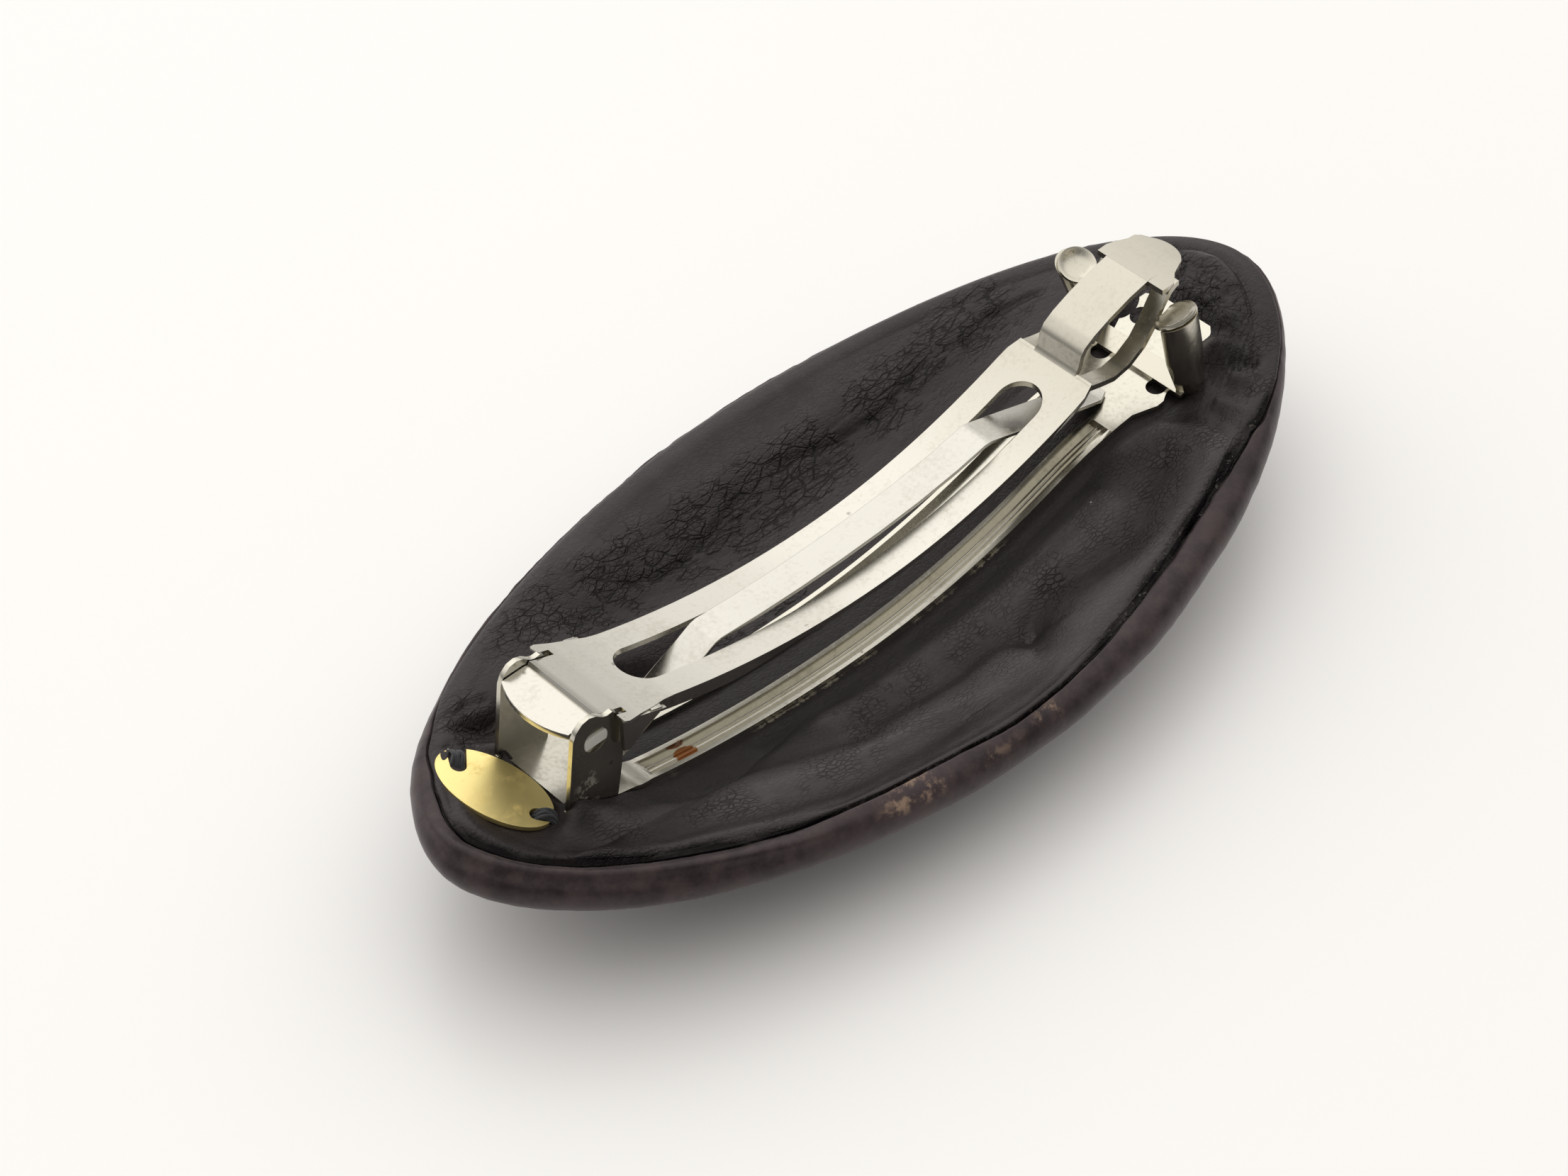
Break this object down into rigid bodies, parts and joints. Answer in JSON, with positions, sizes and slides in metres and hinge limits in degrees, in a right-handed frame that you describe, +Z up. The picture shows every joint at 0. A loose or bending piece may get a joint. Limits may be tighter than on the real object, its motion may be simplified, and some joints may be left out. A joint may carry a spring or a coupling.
{
  "type": "hair barrette",
  "caption": "Oval padded leather hair barrette on its domed face, with a hinged bowed steel clip arm that snaps between sprung finger ears and a blank gold plate.",
  "frame": {"origin": "on the rest plane under the middle of the part's bounding box", "axes": "+X along the clip from hinge to catch, +Y across it to the side away from the camera, +Z up from the domed leather face to the clip"},
  "size_m": [0.108, 0.051, 0.027],
  "materials": {
    "face_leather": "worn, soft sheen",
    "back_leather": "smooth, fine cracks",
    "steel": "nickel plated, softly worn",
    "gold_plate": "polished",
    "thread": "twisted thread"
  },
  "bodies": {
    "barrette": {"leather_face": "face_leather", "back_panel": "back_leather", "base_plate": "steel", "catch_spring": "steel", "spring_bar": "steel", "name_plate": "gold_plate"},
    "clip_arm": {"arm": "steel"}
  },
  "joints": [
    {"name": "arm_hinge", "type": "hinge", "parent": "barrette", "child": "clip_arm", "pos_m": [-0.0385, 0, 0.02], "axis": [0, -1, 0], "range_deg": [0, 100]}
  ]
}
